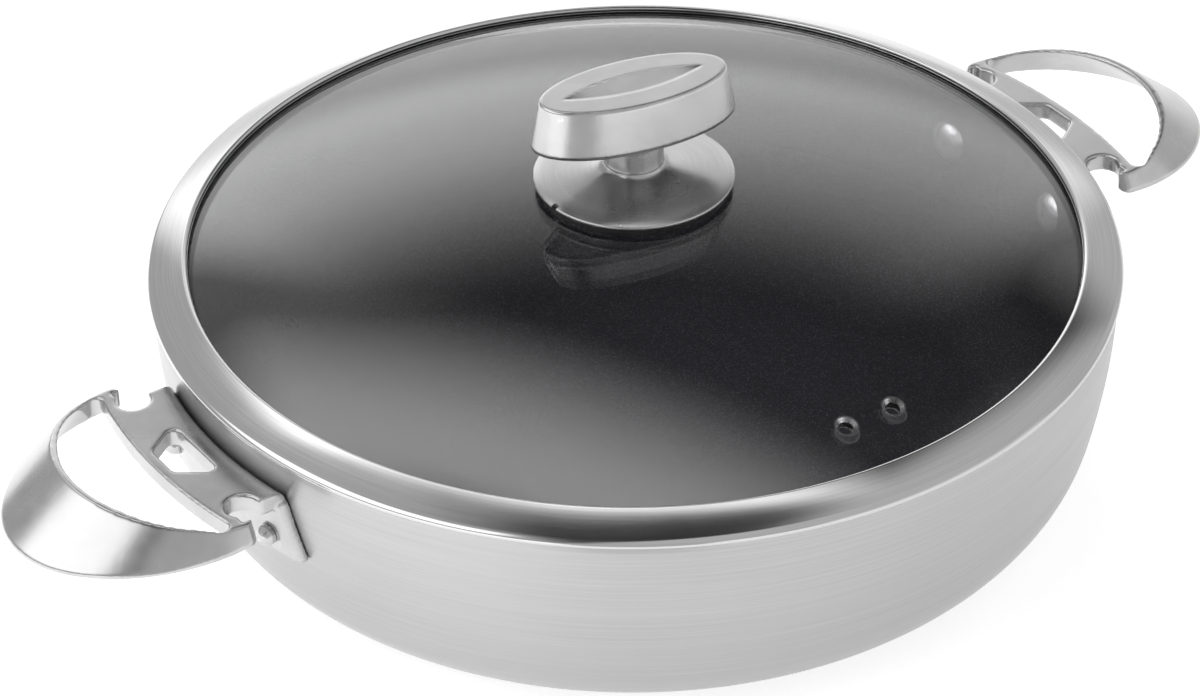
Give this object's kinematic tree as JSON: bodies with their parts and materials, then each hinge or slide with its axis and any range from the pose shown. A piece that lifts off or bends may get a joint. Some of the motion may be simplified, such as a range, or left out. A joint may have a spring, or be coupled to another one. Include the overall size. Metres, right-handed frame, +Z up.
{
  "type": "saute pan with lid",
  "caption": "Round steel saute pan with two riveted loop handles and a domed glass lid with a steel rim and an oval knob.",
  "frame": {"origin": "middle of the pan's flat base, on the surface that it stands on", "axes": "+Z up through the knob, +X from the pan's middle out through the right handle, +Y away from the steam holes"},
  "size_m": [0.4782, 0.33, 0.1506],
  "materials": {
    "pan_steel": "stainless steel, brushed in fine lines around the wall",
    "pan_core": "plain sheet, closed in between the two outer sheets",
    "pan_coating": "dark grey non-stick coating with a fine fleck",
    "cast_steel": "cast stainless steel, satin, softly polished edges",
    "rivet_steel": "stainless steel, formed heads, coated on the inside of the pan",
    "lid_steel": "stainless steel, brushed around the ring",
    "lid_glass": "clear tempered glass",
    "seal_rubber": "black silicone rubber, smooth",
    "knob_steel": "turned stainless steel, half bright",
    "knob_cast_steel": "cast stainless steel, satin",
    "screw_steel": "plain stainless steel"
  },
  "bodies": {
    "pan": {"pan_outer_skin": "pan_steel", "pan_core": "pan_core", "pan_liner": "pan_coating", "handle_right": "cast_steel", "handle_left": "cast_steel", "rivet_right_rear": "rivet_steel", "rivet_right_front": "rivet_steel", "rivet_left_front": "rivet_steel", "rivet_left_rear": "rivet_steel"},
    "lid": {"lid_rim": "lid_steel", "lid_seat_ring": "lid_steel", "lid_glass": "lid_glass", "lid_seal": "seal_rubber", "knob_base_seal": "seal_rubber", "knob_base": "knob_steel", "knob_stem": "knob_steel", "knob_grip": "knob_cast_steel", "knob_inner_seal": "seal_rubber", "knob_washer": "screw_steel", "knob_screw": "screw_steel"}
  },
  "joints": [
    {"name": "lid_lift", "type": "slide", "parent": "pan", "child": "lid", "axis": [0, 0, 1], "range_m": [0, 0.12]}
  ]
}
